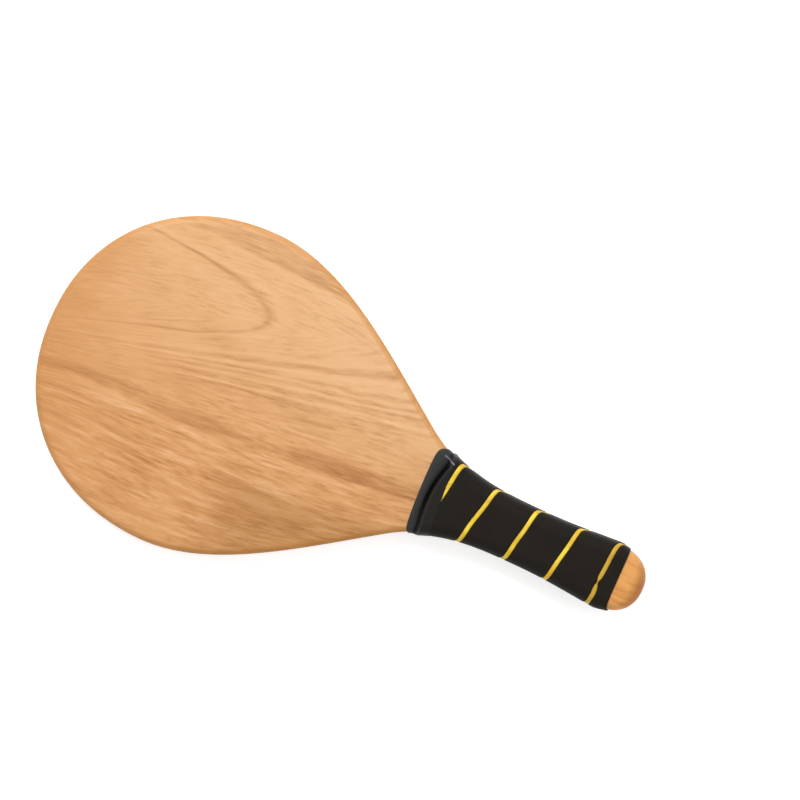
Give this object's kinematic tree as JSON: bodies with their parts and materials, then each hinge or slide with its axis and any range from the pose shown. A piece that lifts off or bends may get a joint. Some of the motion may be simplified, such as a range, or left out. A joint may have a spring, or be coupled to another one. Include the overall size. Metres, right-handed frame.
{
  "type": "frescobol racket",
  "caption": "Wooden beach paddle with an egg-shaped head, a built-up handle and a wound black grip with a yellow spiral stripe.",
  "frame": {"origin": "middle of the bounding box in X and Y, at the lowest point of the handle's wrap", "axes": "+X from the tip of the head to the butt, +Y across the face, +Z out of the front face"},
  "size_m": [0.45, 0.232, 0.0344],
  "materials": {
    "blade_wood": "clear satin varnish over warm tan wood with open grain",
    "cheek_wood": "clear satin varnish, as on the blade",
    "grip_black": "smooth synthetic leather, soft sheen",
    "trim_yellow": "bright golden yellow, satin",
    "band_black": "glossy black tape"
  },
  "bodies": {
    "root": {"blade": "blade_wood", "front_cheek": "cheek_wood", "rear_cheek": "cheek_wood", "grip_tape": "grip_black", "grip_trim": "trim_yellow", "finishing_band": "band_black"}
  },
  "joints": []
}
